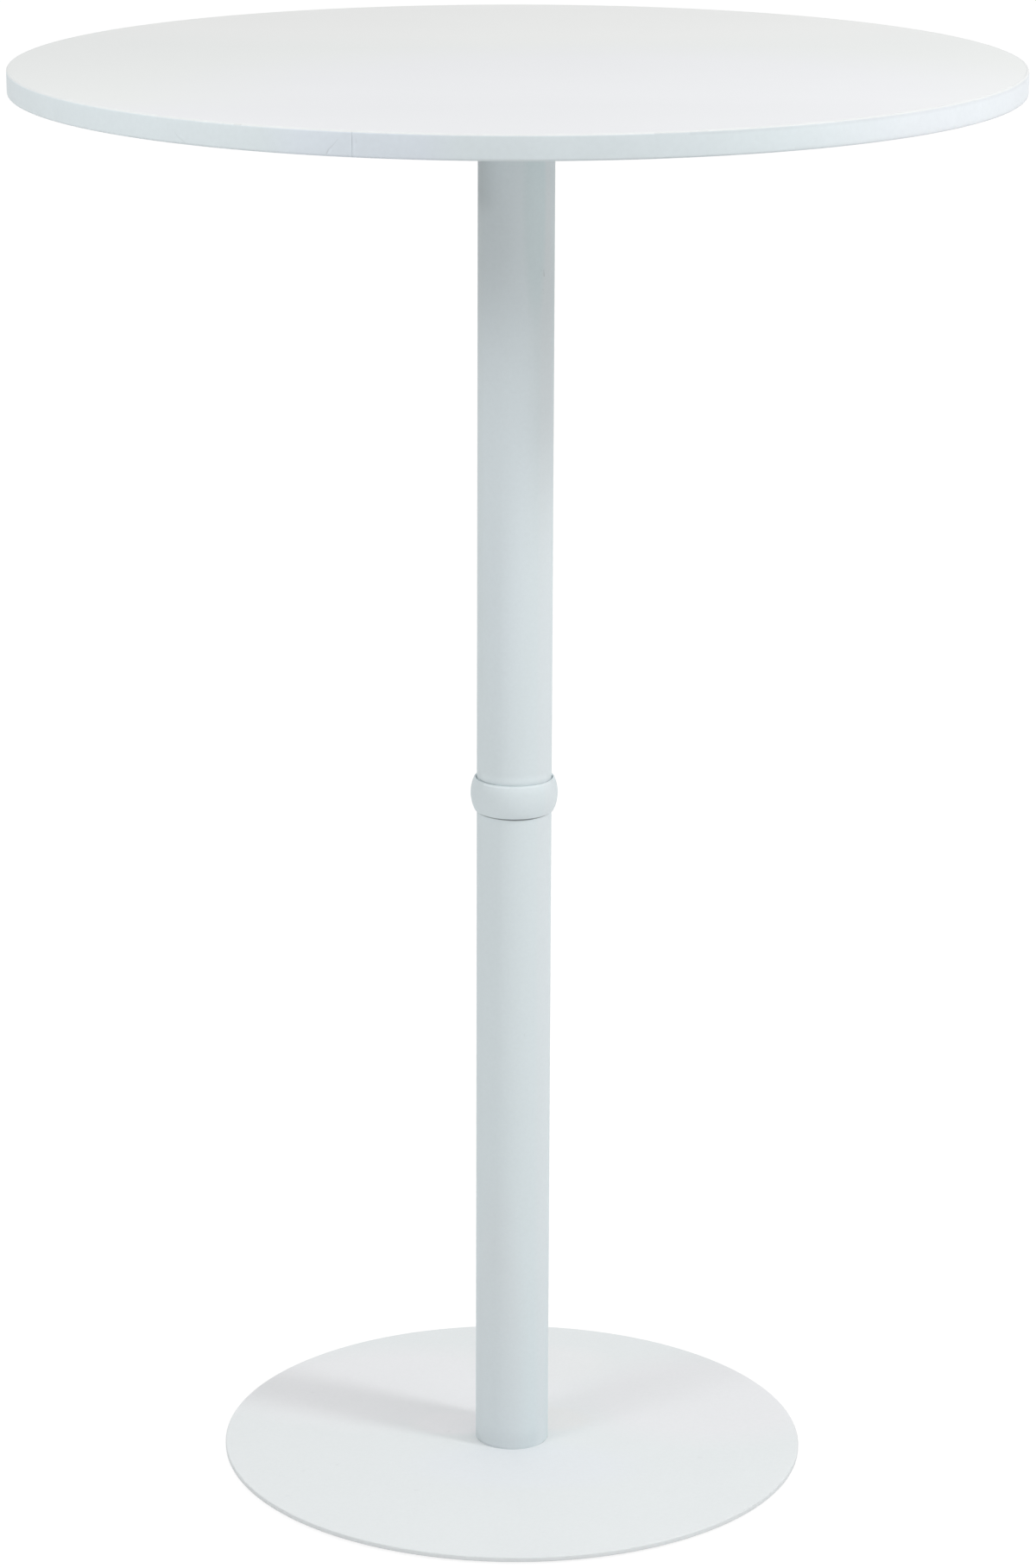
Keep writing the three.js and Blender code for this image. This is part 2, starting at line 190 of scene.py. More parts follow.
# Finishes: sizes of their patterns, how much the tone changes, roughness, gloss and relief
NOISE_RANGE = (0.3, 0.7)
NOISE_DETAIL = 2.0
CLOUD_DETAIL = 3.0
PAINT = {
    "cloud": 120 * MM, "change": 0.012, "mottle": 2.6 * MM, "mottled": 0.02, "peel": 1.3 * MM,
    "grain": 0.6 * MM, "height": 0.012 * MM, "roughness": (0.52, 0.62), "gloss": 0.35,
}
LAMINATE = {
    "cloud": 260 * MM, "change": 0.01, "wipe": (1, 6, 1), "streak": 120 * MM, "dimple": 0.7 * MM,
    "height": 0.004 * MM, "roughness": (0.68, 0.76), "gloss": 0.2,
}
BAND = {
    "cloud": 45 * MM, "change": 0.02, "mottle": 4 * MM, "mottled": 0.025, "wave": 9 * MM,
    "grain": 0.8 * MM, "height": 0.03 * MM, "roughness": (0.42, 0.5), "gloss": 0.35,
}
BOARD = {"flake": 3 * MM, "height": 0.2 * MM, "roughness": (0.75, 0.9)}
STEEL = {
    "cloud": 12 * MM, "change": 0.25, "stretch": (1, 1, 20), "mark": 6 * MM, "height": 0.01 * MM,
    "roughness": (0.32, 0.5),
}
ZINC = {"crystal": 0.9 * MM, "change": 0.12, "height": 0.006 * MM, "roughness": (0.28, 0.42)}
RUBBER = {
    "cloud": 8 * MM, "change": 0.2, "grain": 0.5 * MM, "height": 0.03 * MM,
    "roughness": (0.8, 0.9), "gloss": 0.3,
}


def painted_light_tint(colour, centre, reach):
    """A cast, painted light or shade where the colour turns a little: its centre, and its half width and
    half height, in mm. On the column the centre is the way round it from its right side, and the level."""
    return {"colour": colour, "centre": centre, "reach": reach}


# Casts, painted light and shade: tints that stand in for how the light falls on white surfaces. A
# lighter back and a lavender front on the top, a bluer and a warmer stretch on its band, a warmer right
# side on the column, and on the base plate lavender painted shadows behind and beside the column and a
# bluer one in front of it. A cast fades between these shares of its reach.
PAINTED_TINT_FADE_SHARES = (0.7, 1.15)
TOP_PAINTED_LIGHT = [
    painted_light_tint((238, 239, 238), (0, 300), (460, 190)),
    painted_light_tint((236, 237, 239), (65, -150), (300, 240)),
    painted_light_tint((234, 235, 237), (0, -340), (420, 150)),
]
BAND_PAINTED_LIGHT = [
    painted_light_tint((226, 234, 241), (-105, -360), (60, 100)),
    painted_light_tint((229, 234, 238), (375, 0), (190, 560)),
]
# Levels of the painted highlight on the band's upper rounding
BAND_RIM_HIGHLIGHT_LEVELS = (1098.7 * MM, 1099.3 * MM)
PLATE_PAINTED_LIGHT = [
    painted_light_tint((241, 242, 244), (-90, 95), (150, 85)),
    painted_light_tint((239, 240, 242), (155, 75), (110, 90)),
    painted_light_tint((236, 240, 243), (10, -60), (90, 45)),
    painted_light_tint((239, 241, 242), (25, 145), (60, 40)),
    painted_light_tint((239, 240, 240), (30, 32), (34, 24)),
    painted_light_tint((244, 244, 246), (-46, 22), (34, 24)),
]
# Painted light on the column: a warmer lit right side, bluer painted shade on the left higher up and near
# the foot, and painted shade under the top on the right
COLUMN_PAINTED_LIGHT = [painted_light_tint((232, 240, 243), (-18, 550), (9, 700))]
UPPER_PAINTED_LIGHT = [
    *COLUMN_PAINTED_LIGHT,
    painted_light_tint((232, 242, 246), (-55, 850), (24, 260)),
    painted_light_tint((225, 238, 241), (-30, 1000), (10, 85)),
]
LOWER_PAINTED_LIGHT = [*COLUMN_PAINTED_LIGHT, painted_light_tint((229, 237, 240), (-60, 60), (26, 170))]


def mark(start, end, widths, tone):
    """A mark, a line with its half width in mm at both ends. On a round piece the ends are an azimuth
    in degrees and a level in mm, and on a flat one x and y in mm."""
    return {"start": start, "end": end, "widths": widths, "tone": tone}


# Marks: some of use, such as a crease, scuffs, chips, specks and stains, and some painted shade and
# painted highlights, as said at each. A tone is the share that darkens, and one below 0 lightens.
BAND_MARKS_AND_PAINTED_LIGHT = [
    # The crease, with painted shade on its dark side and a painted highlight on its light side
    mark((250.22, 1083.6), (250.49, 1087.0), (0.8, 0.75), 0.16),
    mark((250.49, 1087.0), (250.92, 1089.5), (0.75, 0.6), 0.12),
    mark((250.92, 1089.5), (251.52, 1094.0), (0.7, 0.5), 0.07),
    mark((250.54, 1084.4), (250.82, 1087.0), (0.9, 0.7), -0.07),
    mark((253.48, 1092.3), (253.48, 1094.5), (0.8, 0.8), 0.05),
    # The seam: its dark joint, and painted highlights on the band's ends beside it
    mark((253.08, 1084.4), (253.08, 1096.4), (0.6, 0.6), 0.06),
    mark((252.85, 1084.4), (252.85, 1096.4), (0.9, 0.9), -0.03),
    mark((253.32, 1084.4), (253.32, 1091.4), (0.9, 0.9), -0.03),
    mark((231.8, 1089.6), (232.2, 1087.1), (0.9, 1.1), 0.05),
    mark((232.2, 1087.1), (233.1, 1083.9), (1.1, 0.8), 0.07),
    mark((232.6, 1087.7), (233.1, 1086.5), (0.8, 0.8), -0.04),
    mark((239.6, 1099.1), (240.4, 1099.3), (1.0, 1.0), 0.1),
    # A painted highlight along the upper rounding, and painted shade over it towards the right end
    mark((186.0, 1099.0), (284.0, 1099.0), (1.2, 1.2), -0.1),
    mark((288.0, 1098.2), (305.0, 1098.5), (2.0, 2.6), 0.05),
    mark((305.0, 1098.7), (354.0, 1098.7), (2.8, 2.8), 0.065),
    # Painted shade along the band's bottom edge, under the top
    mark((190.0, 1082.5), (225.0, 1082.5), (1.6, 1.8), 0.05),
    mark((225.0, 1082.5), (300.0, 1082.5), (1.8, 1.8), 0.1),
    mark((300.0, 1082.5), (350.0, 1082.5), (3.0, 3.0), 0.08),
]
UPPER_MARKS_AND_PAINTED_LIGHT = [
    mark((315.4, 949.6), (316.2, 945.0), (0.3, 1.2), 0.16),
    mark((310.9, 949.6), (310.9, 948.9), (0.8, 0.8), 0.05),
    mark((314.1, 934.9), (314.1, 934.3), (0.8, 0.8), 0.05),
    mark((314.6, 931.6), (317.1, 931.6), (0.5, 0.5), 0.05),
    mark((289.0, 941.9), (289.0, 941.1), (1.0, 1.0), 0.03),
    # Painted shade on the column's left just under the top
    mark((198.8, 1049.8), (201.3, 1007.8), (30.0, 26.0), 0.17),
    # Painted shade in the seam on the left where the tube enters the collar, and a painted highlight just
    # above the seam
    mark((205.0, 553.9), (240.0, 553.7), (0.8, 0.4), 0.25),
    mark((215.0, 557.5), (325.0, 557.5), (5.0, 5.0), -0.045),
]
COLLAR_PAINTED_HIGHLIGHTS = [
    # Painted highlights along the collar's upper lip and shoulder, strongest on the left
    mark((222.0, 552.6), (262.0, 552.6), (1.3, 1.3), -0.13),
    mark((262.0, 552.6), (300.0, 552.6), (1.3, 1.3), -0.08),
    mark((300.0, 552.6), (332.0, 552.6), (1.3, 1.3), -0.07),
    mark((225.0, 551.0), (325.0, 551.0), (5.0, 5.0), -0.03),
]
PLATE_SPECKS_AND_PAINTED_LIGHT = [
    mark((-75.0, -107.6), (-73.0, -107.6), (2.0, 2.0), 0.05),
    mark((-138.0, -61.1), (-137.0, -59.1), (2.0, 2.0), 0.05),
    mark((-175.0, -119.4), (-172.0, -119.4), (2.0, 2.0), 0.04),
    mark((-164.0, -73.3), (-163.0, -71.3), (1.8, 1.8), 0.04),
    mark((-164.0, 83.7), (-162.0, 83.7), (2.0, 2.0), 0.04),
    mark((-51.0, 5.5), (-50.0, 6.6), (2.0, 2.0), 0.05),
    mark((148.0, -42.0), (150.0, -42.0), (2.0, 2.0), 0.04),
    # A painted highlight on the plate in front of the column's foot
    mark((-27.0, -17.0), (-15.0, -27.0), (4.0, 4.0), -0.03),
]
LOWER_MARKS_AND_PAINTED_SHADE = [
    mark((347.6, 368.3), (346.8, 344.3), (1.2, 1.6), 0.07),
    mark((302.6, 367.6), (302.6, 366.8), (0.9, 0.9), 0.03),
    mark((302.6, 363.0), (302.6, 362.2), (0.9, 0.9), 0.03),
    mark((287.7, 353.6), (287.7, 352.4), (0.8, 0.8), 0.04),
    # Painted shadow under the collar's lower lip, darkest in front
    mark((205.0, 526.9), (245.0, 526.7), (0.5, 0.7), 0.6),
    mark((245.0, 526.7), (270.0, 526.6), (0.7, 1.1), 0.68),
    mark((270.0, 526.6), (300.0, 526.7), (1.1, 0.85), 0.68),
    mark((300.0, 526.7), (326.0, 526.9), (0.7, 0.1), 0.6),
    # Painted shade at the column's foot, darker towards the base plate
    mark((196.0, 9.0), (215.0, 8.0), (8.0, 3.0), 0.08),
    mark((200.0, 7.2), (262.0, 7.0), (1.6, 0.8), 0.16),
    mark((262.0, 7.0), (305.0, 7.2), (0.9, 1.0), 0.09),
    mark((225.0, 12.0), (300.0, 12.0), (14.0, 14.0), 0.045),
]

base_screws = [f"base_screw_{i + 1}" for i in range(SCREW_COUNT)]
support_screws = [f"support_screw_{i + 1}" for i in range(SCREW_COUNT)]
arm_screws = [f"tabletop_screw_{i + 1}" for i in range(SCREWS_PER_ARM * ARM_COUNT)]
floor_pads = [f"floor_pad_{i + 1}" for i in range(PAD_COUNT)]


def straightened(share):
    """One part of a colour as linear light, from its share of 255."""
    if share <= CURVE_KNEE:
        return share / CURVE_SLOPE
    return ((share + CURVE_OFFSET) / (1 + CURVE_OFFSET)) ** CURVE_POWER


def linear(colour):
    """A colour of 0 to 255 as the eye sees it, as linear light."""
    return [straightened(part / 255) for part in colour]


def opaque(colour):
    """The same with alpha."""
    return [*linear(colour), 1]


def radius_of(node):
    """Outer radius of a node that is round about the Z axis."""
    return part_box(node)[1].x


def levels_of(node):
    """Lowest and highest level of a node."""
    low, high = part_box(node)
    return low.z, high.z


def centre_of(node):
    """Centre of a node seen from above."""
    low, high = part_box(node)
    return ((low.x + high.x) / 2, (low.y + high.y) / 2)


# Camera, lamps, sky and floor


def add_camera():
    """The camera in front of the table, turned from level by its yaw, pitch and roll."""
    side = Vector((math.cos(CAMERA_YAW), math.sin(CAMERA_YAW), 0))
    ahead = Vector((-math.sin(CAMERA_YAW), math.cos(CAMERA_YAW), 0))
    up = Vector((0, 0, 1))
    forward = math.cos(CAMERA_PITCH) * ahead - math.sin(CAMERA_PITCH) * up
    upward = math.sin(CAMERA_PITCH) * ahead + math.cos(CAMERA_PITCH) * up
    rolled_side = math.cos(CAMERA_ROLL) * side + math.sin(CAMERA_ROLL) * upward
    rolled_up = math.cos(CAMERA_ROLL) * upward - math.sin(CAMERA_ROLL) * side

    data = bpy.data.cameras.new("camera")
    data.sensor_width = SENSOR_SIZE
    data.lens = FOCAL_PIXELS * SENSOR_SIZE / IMAGE_HEIGHT
    data.shift_x = (IMAGE_WIDTH / 2 - AXIS_X) / IMAGE_HEIGHT
    data.clip_end = 2 * FLOOR_SIZE
    camera = bpy.data.objects.new("camera", data)
    turn = Matrix((rolled_side, rolled_up, -forward)).transposed().to_4x4()
    camera.matrix_world = Matrix.Translation((0, -CAMERA_DISTANCE, CAMERA_HEIGHT)) @ turn
    bpy.context.collection.objects.link(camera)
    bpy.context.scene.camera = camera


def add_soft_box(name, box):
    """A round soft box, aimed at the column."""
    azimuth = math.radians(box["azimuth"])
    place = Vector((box["reach"] * math.cos(azimuth), box["reach"] * math.sin(azimuth), box["level"]))
    target = Vector((0, 0, box["aim"]))
    light = bpy.data.lights.new(name, "AREA")
    light.shape = "DISK"
    light.size = box["width"]
    light.energy = box["power"]
    lamp = bpy.data.objects.new(name, light)
    lamp.location = place
    lamp.rotation_euler = (place - target).to_track_quat("Z", "Y").to_euler()
    lamp.visible_camera = False
    bpy.context.collection.objects.link(lamp)


def add_sky():
    """A soft sky that lights the object, and plain white where it is seen or mirrored."""
    world = bpy.data.worlds.new("sky")
    world.use_nodes = True
    tree = world.node_tree
    tree.nodes.clear()
    toward = add_node(tree, "SeparateXYZ", {0: add_node(tree, "TexCoord").outputs["Generated"]})
    ramp = add_node(tree, "ValToRGB", {0: toward.outputs["Z"]})
    stops = ramp.color_ramp.elements
    highest = SKY_STOPS[-1][0]
    while len(stops) < len(SKY_STOPS):
        stops.new(highest)
    for stop, (height, brightness) in zip(stops, SKY_STOPS):
        stop.position = height
        stop.color = (brightness, brightness, brightness, 1)
    light = add_node(tree, "Background", {"Color": ramp.outputs[0]})
    seen = add_node(tree, "Background", {"Color": WHITE})
    shown = mixed_shader(tree, seen_or_mirrored(tree), light, seen)
    add_node(tree, "OutputWorld", {"Surface": shown.outputs[0]})
    bpy.context.scene.world = world


def floor_material():
    """White where it is seen, with the object's shadow, clear from below, and a plain pale grey as a
    light source."""
    material, tree = new_material("floor")
    bounce = add_node(tree, "BsdfDiffuse", {"Color": FLOOR_BOUNCE})
    lit = add_node(tree, "BsdfDiffuse", {"Color": FLOOR_SHADE})
    glow = add_node(tree, "Emission", {"Color": WHITE, "Strength": FLOOR_GLOW})
    face = add_node(tree, "AddShader", {0: lit.outputs[0], 1: glow.outputs[0]})
    under = add_node(tree, "BsdfTransparent")
    below = add_node(tree, "NewGeometry").outputs["Backfacing"]
    seen = mixed_shader(tree, below, face, under)
    shown = mixed_shader(tree, seen_or_mirrored(tree), bounce, seen)
    add_node(tree, "OutputMaterial", {"Surface": shown.outputs[0]})
    return material


def add_floor():
    half = FLOOR_SIZE / 2
    corners = [(-half, -half, 0), (half, -half, 0), (half, half, 0), (-half, half, 0)]
    mesh = bpy.data.meshes.new("floor")
    mesh.from_pydata(corners, [], [(0, 1, 2, 3)])
    mesh.materials.append(floor_material())
    floor = bpy.data.objects.new("floor", mesh)
    bpy.context.collection.objects.link(floor)


# Shader nodes


def add_node(tree, kind, inputs=None, **settings):
    """A shader node, with its inputs linked or set by their name or number."""
    node = tree.nodes.new("ShaderNode" + kind)
    for key, value in settings.items():
        setattr(node, key, value)
    for key, value in (inputs or {}).items():
        if isinstance(value, bpy.types.NodeSocket):
            tree.links.new(value, node.inputs[key])
        else:
            node.inputs[key].default_value = value
    return node


def new_material(name):
    material = bpy.data.materials.new(name)
    material.use_nodes = True
    material.node_tree.nodes.clear()
    return material, material.node_tree


def calculated(tree, operation, first, second=0.0):
    return add_node(tree, "Math", {0: first, 1: second}, operation=operation).outputs[0]


def ranged(tree, value, source, result):
    """A value brought from one range to another, and kept inside it."""
    limits = {"From Min": source[0], "From Max": source[1], "To Min": result[0], "To Max": result[1]}
    return add_node(tree, "MapRange", {"Value": value, **limits}).outputs[0]


def mixed_colour(tree, share, first, second):
    return add_node(tree, "Mix", {0: share, 6: first, 7: second}, data_type="RGBA").outputs[2]


def mixed_shader(tree, share, first, second):
    return add_node(tree, "MixShader", {0: share, 1: first.outputs[0], 2: second.outputs[0]})


def scaled(tree, vector, factor):
    """A vector or a colour times a number."""
    return add_node(tree, "VectorMath", {0: vector, "Scale": factor}, operation="SCALE").outputs[0]


def seen_or_mirrored(tree):
    """1 for rays from the camera, and for what is mirrored or seen through glass."""
    path = add_node(tree, "LightPath").outputs
    mirrored = calculated(tree, "MAXIMUM", path["Is Glossy Ray"], path["Is Transmission Ray"])
    return calculated(tree, "MAXIMUM", path["Is Camera Ray"], mirrored)


def place_on(tree):
    """The place on the piece, in metres."""
    return add_node(tree, "TexCoord").outputs["Object"]


def noise(tree, place, size, detail=NOISE_DETAIL):
    """Soft noise with features of one size, from 0 to 1."""
    raw = add_node(tree, "TexNoise", {"Vector": place, "Scale": 1 / size, "Detail": detail}).outputs[0]
    return ranged(tree, raw, NOISE_RANGE, (0, 1))


def clouded(tree, place, colour, size, change):
    """A colour that drifts a little over the surface: a share darker in soft clouds."""
    kept = ranged(tree, noise(tree, place, size, CLOUD_DETAIL), (0, 1), (1, 1 - change))
    return scaled(tree, colour, kept)


def finished(tree, colour, roughness, relief, height, uniform):
    """The shader itself, with its relief in metres and its uniform values on its own sockets."""
    bump = add_node(tree, "Bump", {"Height": relief, "Distance": height})
    inputs = {"Base Color": colour, "Roughness": roughness, "Normal": bump.outputs[0], **uniform}
    shader = add_node(tree, "BsdfPrincipled", inputs)
    add_node(tree, "OutputMaterial", {"Surface": shader.outputs[0]})


def spread_place(tree, radius):
    """The place in metres, spread flat: x and y, or on a round piece the way round it and the height."""
    place = add_node(tree, "SeparateXYZ", {0: place_on(tree)})
    if not radius:
        return add_node(tree, "CombineXYZ", {0: place.outputs["X"], 1: place.outputs["Y"]}).outputs[0]
    angle = calculated(tree, "ARCTAN2", place.outputs["Y"], place.outputs["X"])
    way = calculated(tree, "MULTIPLY", angle, radius)
    return add_node(tree, "CombineXYZ", {0: way, 1: place.outputs["Z"]}).outputs[0]


def spread_end(end, radius):
    """The end of a mark in the same flat measure."""
    if not radius:
        return Vector((end[0] * MM, end[1] * MM, 0))
    turn = math.radians(end[0] if end[0] <= 180 else end[0] - 360)
    return Vector((turn * radius, end[1] * MM, 0))


def tinted(tree, tint, casts, radius=None):
    """A tint with the casts, painted light and shade, that lie over parts of it."""
    if not casts:
        return linear(tint)
    colour = opaque(tint)
    place = spread_place(tree, radius)
    for patch in casts:
        centre = [part * MM for part in patch["centre"]] + [0]
        scale = [1 / part / MM for part in patch["reach"]] + [0]
        offset = add_node(tree, "VectorMath", {0: place, 1: centre}, operation="SUBTRACT").outputs[0]
        measured = add_node(tree, "VectorMath", {0: offset, 1: scale}, operation="MULTIPLY").outputs[0]
        away = add_node(tree, "VectorMath", {0: measured}, operation="LENGTH").outputs["Value"]
        share = ranged(tree, away, PAINTED_TINT_FADE_SHARES, (1, 0))
        colour = mixed_colour(tree, share, colour, opaque(patch["colour"]))
    return colour


def stroke(tree, place, radius, line):
    """How dark or light a mark is on this place: its tone in the middle, and 0 from its edge on."""
    start = spread_end(line["start"], radius)
    run = spread_end(line["end"], radius) - start
    offset = add_node(tree, "VectorMath", {0: place, 1: start}, operation="SUBTRACT").outputs[0]
    per_run = run / run.length_squared
    along = add_node(tree, "VectorMath", {0: offset, 1: per_run}, operation="DOT_PRODUCT").outputs["Value"]
    share = ranged(tree, along, (0, 1), (0, 1))
    nearest = scaled(tree, run, share)
    away = add_node(tree, "VectorMath", {0: offset, 1: nearest}, operation="DISTANCE").outputs["Value"]
    reach = ranged(tree, share, (0, 1), [width * MM for width in line["widths"]])
    outward = calculated(tree, "DIVIDE", away, reach)
    return add_node(
        tree, "MapRange",
        {"Value": outward, "From Min": 0, "From Max": 1, "To Min": line["tone"], "To Max": 0},
        interpolation_type="SMOOTHSTEP",
    ).outputs[0]


def marked(tree, colour, radius, marks):
    """The colour with its marks, and how much they darken it, which is below 0 where they lighten it."""
    place = spread_place(tree, radius)
    darker = 0.0
    lighter = 0.0
    for line in marks:
        share = stroke(tree, place, radius, line)
        if line["tone"] > 0:
            darker = calculated(tree, "MAXIMUM", share, darker)
        else:
            lighter = calculated(tree, "MINIMUM", share, lighter)
    total = calculated(tree, "ADD", darker, lighter)
    kept = calculated(tree, "SUBTRACT", 1.0, total)
    return scaled(tree, colour, kept), total


# Materials


def paint_material(name, tint=PAINT_COLOUR, marks=(), casts=(), radius=None):
    """Matt white powder coat with a fine orange peel. A round piece has a radius for its marks and casts,
    the casts and many of the marks being painted light and shade."""
    material, tree = new_material(name)
    place = place_on(tree)
    colour = clouded(tree, place, tinted(tree, tint, casts, radius), PAINT["cloud"], PAINT["change"])
    colour = clouded(tree, place, colour, PAINT["mottle"], PAINT["mottled"])
    if marks:
        colour = marked(tree, colour, radius, marks)[0]
    relief = noise(tree, place, PAINT["peel"])
    grain = noise(tree, place, PAINT["grain"])
    roughness = ranged(tree, grain, (0, 1), PAINT["roughness"])
    finished(tree, colour, roughness, relief, PAINT["height"], {"Specular IOR Level": PAINT["gloss"]})
    return material


def laminate_material(name, tint, casts=()):
    """Laminate: smooth, with the faint dimples of its press plate, a trace of wiping, and casts of painted
    light where given.
    """
    material, tree = new_material(name)
    place = place_on(tree)
    colour = tinted(tree, tint, casts)
    shade = clouded(tree, place, colour, LAMINATE["cloud"], LAMINATE["change"])
    wiped = add_node(tree, "Mapping", {"Vector": place, "Scale": LAMINATE["wipe"]}).outputs[0]
    streaks = noise(tree, wiped, LAMINATE["streak"])
    roughness = ranged(tree, streaks, (0, 1), LAMINATE["roughness"])
    dimples = noise(tree, place, LAMINATE["dimple"])
    uniform = {"Specular IOR Level": LAMINATE["gloss"]}
    finished(tree, shade, roughness, dimples, LAMINATE["height"], uniform)
    return material


def band_material():
    """Smooth plastic edging, a little bluer than the laminate but for its rim, which is a painted
    highlight, with marks of use and marks of painted shade and highlight.
    """
    material, tree = new_material("band")
    place = place_on(tree)
    level = add_node(tree, "SeparateXYZ", {0: place}).outputs["Z"]
    rim = ranged(tree, level, BAND_RIM_HIGHLIGHT_LEVELS, (0, 1))
    colour = mixed_colour(tree, rim, tinted(tree, BAND_COLOUR, BAND_PAINTED_LIGHT), opaque(BAND_RIM_HIGHLIGHT_COLOUR))
    colour = clouded(tree, place, colour, BAND["cloud"], BAND["change"])
    colour = clouded(tree, place, colour, BAND["mottle"], BAND["mottled"])
    colour, worn_and_shaded = marked(tree, colour, radius_of("tabletop_edge_band"), BAND_MARKS_AND_PAINTED_LIGHT)
    waves = noise(tree, place, BAND["wave"])
    relief = calculated(tree, "SUBTRACT", waves, worn_and_shaded)
    grain = noise(tree, place, BAND["grain"])
    roughness = ranged(tree, grain, (0, 1), BAND["roughness"])
    finished(tree, colour, roughness, relief, BAND["height"], {"Specular IOR Level": BAND["gloss"]})
    return material


def board_material():
    """Chipboard: flat flakes of two browns."""
    material, tree = new_material("board")
    place = place_on(tree)
    flakes = add_node(tree, "TexVoronoi", {"Vector": place, "Scale": 1 / BOARD["flake"]})
    tone = add_node(tree, "SeparateXYZ", {0: flakes.outputs["Color"]}).outputs["X"]
    colour = mixed_colour(tree, tone, opaque(BOARD_COLOUR), opaque(CHIP_COLOUR))
    roughness = ranged(tree, tone, (0, 1), BOARD["roughness"])
    finished(tree, colour, roughness, flakes.outputs["Distance"], BOARD["height"], {})
    return material


def steel_material():
    """Turned mild steel: fine marks of the tool and a darker bloom."""
    material, tree = new_material("steel")
    place = place_on(tree)
    colour = clouded(tree, place, linear(STEEL_COLOUR), STEEL["cloud"], STEEL["change"])
    stretched = add_node(tree, "Mapping", {"Vector": place, "Scale": STEEL["stretch"]}).outputs[0]
    marks = noise(tree, stretched, STEEL["mark"])
    roughness = ranged(tree, marks, (0, 1), STEEL["roughness"])
    finished(tree, colour, roughness, marks, STEEL["height"], {"Metallic": 1.0})
    return material


def zinc_material():
    """Bright zinc plating, with its fine crystals."""
    material, tree = new_material("zinc")
    place = place_on(tree)
    crystals = add_node(tree, "TexVoronoi", {"Vector": place, "Scale": 1 / ZINC["crystal"]})
    tone = add_node(tree, "SeparateXYZ", {0: crystals.outputs["Color"]}).outputs["X"]
    kept = ranged(tree, tone, (0, 1), (1, 1 - ZINC["change"]))
    colour = scaled(tree, linear(ZINC_COLOUR), kept)
    roughness = ranged(tree, tone, (0, 1), ZINC["roughness"])
    relief = noise(tree, place, ZINC["crystal"])
    finished(tree, colour, roughness, relief, ZINC["height"], {"Metallic": 1.0})
    return material


def rubber_material():
    """Dull dark rubber."""
    material, tree = new_material("rubber")
    place = place_on(tree)
    colour = clouded(tree, place, linear(RUBBER_COLOUR), RUBBER["cloud"], RUBBER["change"])
    grain = noise(tree, place, RUBBER["grain"])
    roughness = ranged(tree, grain, (0, 1), RUBBER["roughness"])
    finished(tree, colour, roughness, grain, RUBBER["height"], {"Specular IOR Level": RUBBER["gloss"]})
    return material


# Mesh building


def ring(reach, level, count, centre=(0, 0)):
    """A closed ring at one level. Its reach is a radius, or gives the radius at an angle."""
    points = []
    for i in range(count):
        angle = 2 * math.pi * i / count
        radius = reach(angle) if callable(reach) else reach
        points.append((centre[0] + radius * math.cos(angle), centre[1] + radius * math.sin(angle), level))
    return points


def revolve(profile, count, centre=(0, 0)):
    """The rings of a profile of (radius, level) points turned about a vertical axis."""
    return [ring(radius, level, count, centre) for radius, level in profile]


def arc(centre, radius, start, end, steps):
    """Points of an arc, from one angle to another in degrees."""
    points = []
    for i in range(steps + 1):
        angle = math.radians(start + (end - start) * i / steps)
        points.append((centre[0] + radius * math.cos(angle), centre[1] + radius * math.sin(angle)))
    return points


def skin(rings, closed=False):
    """A closed mesh over rings of equally many points, joined end to end or capped at both ends."""
    bm = bmesh.new()
    loops = [[bm.verts.new(point) for point in points] for points in rings]
    pairs = list(zip(loops, loops[1:]))
    if closed:
        pairs.append((loops[-1], loops[0]))
    else:
        bm.faces.new(loops[0])
        bm.faces.new(loops[-1])
    count = len(loops[0])
    for lower, upper in pairs:
        for i in range(count):
            j = (i + 1) % count
            bm.faces.new((lower[i], lower[j], upper[j], upper[i]))
    bmesh.ops.recalc_face_normals(bm, faces=bm.faces)
    return bm


def loose_object(name, bm):
    mesh = bpy.data.meshes.new(name)
    bm.to_mesh(mesh)
    bm.free()
    obj = bpy.data.objects.new(name, mesh)
    bpy.context.collection.objects.link(obj)
    return obj


def carved(bm, cutters):
    """The mesh with the cutters taken out of it."""
    body = loose_object("carved", bm)
    tools = [loose_object("cutter", cutter) for cutter in cutters]
    for tool in tools:
        modifier = body.modifiers.new("cut", "BOOLEAN")
        modifier.operation = "DIFFERENCE"
        modifier.solver = "EXACT"
        modifier.object = tool
    shaped = body.evaluated_get(bpy.context.evaluated_depsgraph_get())
    result = bmesh.new()
    result.from_mesh(shaped.to_mesh())
    shaped.to_mesh_clear()
    for obj in [body, *tools]:
        bpy.data.meshes.remove(obj.data)
    return result


def drill(node, bottom, top):
    """The hole for a wood screw, between two levels."""
    radius = WOOD_SCREW_RADIUS + WOOD_SCREW_GAP
    return skin(revolve([(radius, bottom), (radius, top)], SCREW_SEGMENTS, centre_of(node)))


def add_piece(name, bm, material, slot, *nodes):
    """A finished piece that stands for CAD nodes, smooth but for its sharp edges."""
    piece = loose_object(name, bm)
    piece.data.shade_smooth()
    piece.data.set_sharp_from_angle(angle=SHARP_ANGLE)
    piece.data.materials.append(material)
    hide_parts(*nodes)
    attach(piece, "root")


# The top


def disc_profile(radius, bottom, top):
    """A flat disc, with a narrow ring beside each edge so that its faces shade flat."""
    inner = radius - EDGE_RING
    return [(inner, bottom), (radius, bottom), (radius, top), (inner, top)]


def sheet_radius():
    """Radius of the laminate and the backing sheet, which lie inside the band."""
    return radius_of("tabletop_edge_band") - BAND_THICKNESS - GLUE_LINE


